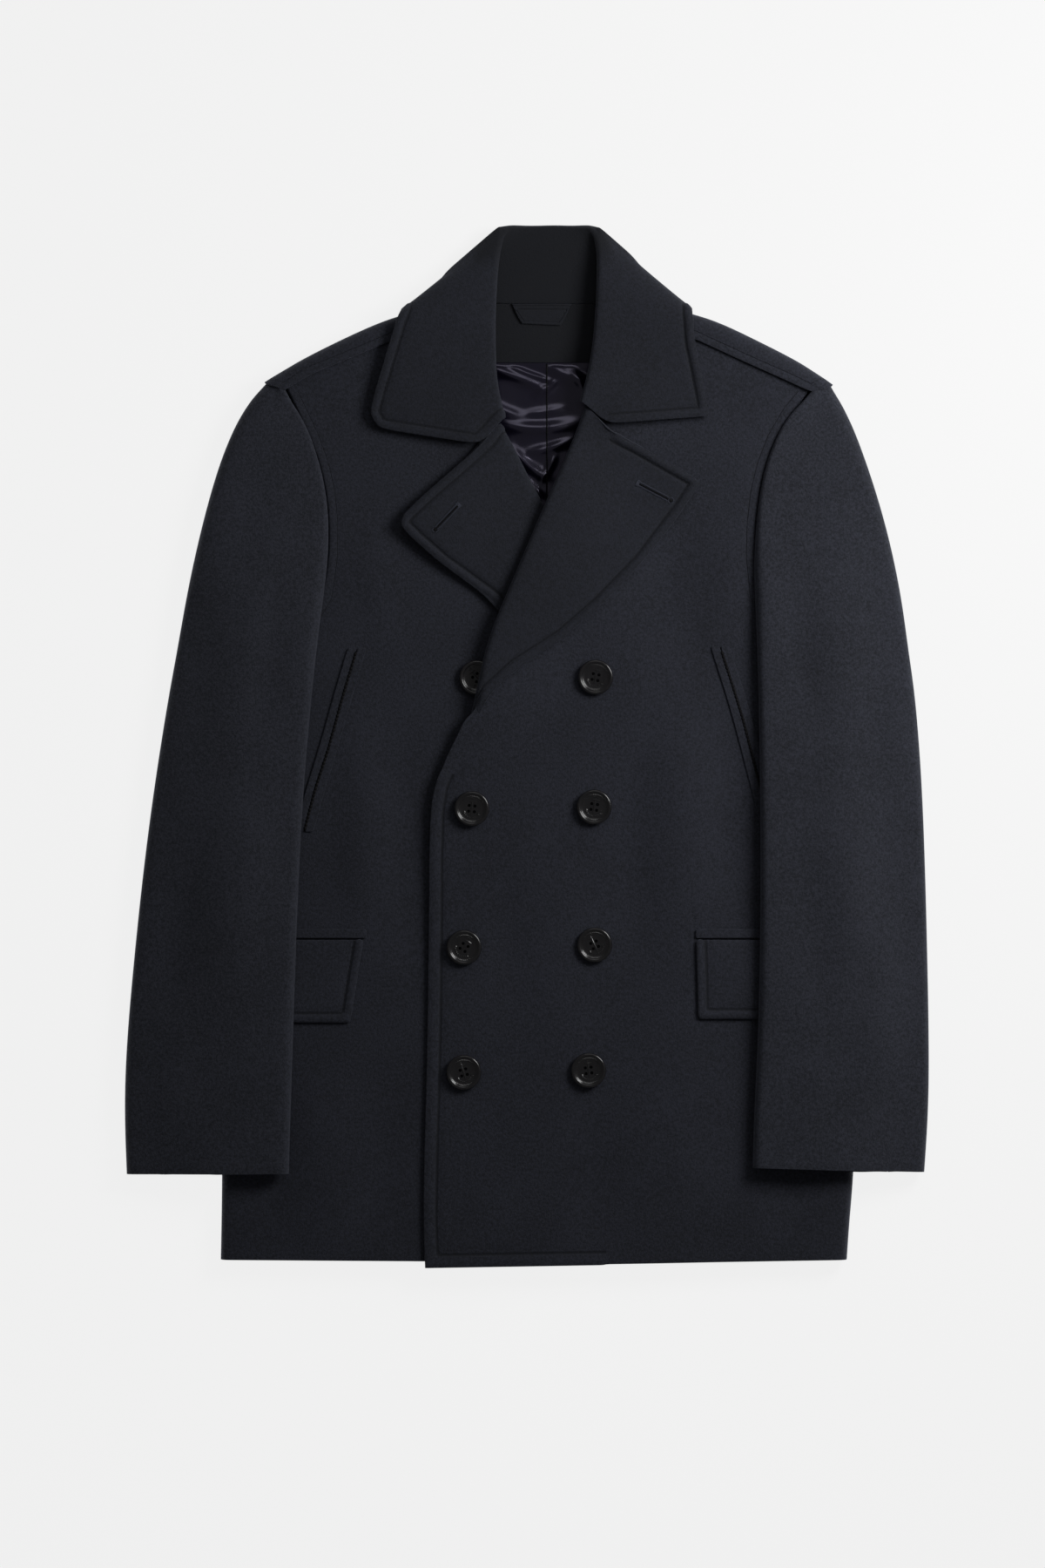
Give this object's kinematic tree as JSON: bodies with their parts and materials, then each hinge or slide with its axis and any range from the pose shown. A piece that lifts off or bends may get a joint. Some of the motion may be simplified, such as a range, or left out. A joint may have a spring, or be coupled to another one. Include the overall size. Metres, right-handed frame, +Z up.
{
  "type": "pea coat",
  "caption": "Double-breasted wool pea coat laid flat on its back, with a wide notched collar, slanted welt pockets, flap pockets and glossy buttons.",
  "frame": {"origin": "under the middle of the coat's outline, on the surface it lies on", "axes": "+Y from hem to collar, +X towards the wearer's left, which is the picture's right, +Z up from the surface, out of the front"},
  "size_m": [0.6678, 0.8634, 0.0327],
  "materials": {
    "melton": "matt, brushed nap",
    "collar_melton": "matt, brushed nap",
    "satin": "glossy satin",
    "button": "polished"
  },
  "bodies": {
    "root": {"back": "melton", "front_right": "melton", "front_left": "melton", "sleeve_top_right": "melton", "sleeve_under_right": "melton", "sleeve_top_left": "melton", "sleeve_under_left": "melton", "collar": "collar_melton", "facing_right": "collar_melton", "facing_left": "collar_melton", "facing_neck": "collar_melton", "lining_right": "satin", "lining_left": "satin", "hanger_loop": "collar_melton", "welt_front_right": "melton", "welt_back_right": "melton", "welt_front_left": "melton", "welt_back_left": "melton", "flap_right": "melton", "jet_right": "melton", "flap_left": "melton", "jet_left": "melton", "button_under_1": "button", "button_under_2": "button", "button_under_3": "button", "button_under_4": "button", "button_over_1": "button", "button_over_2": "button", "button_over_3": "button", "button_over_4": "button"}
  },
  "joints": []
}
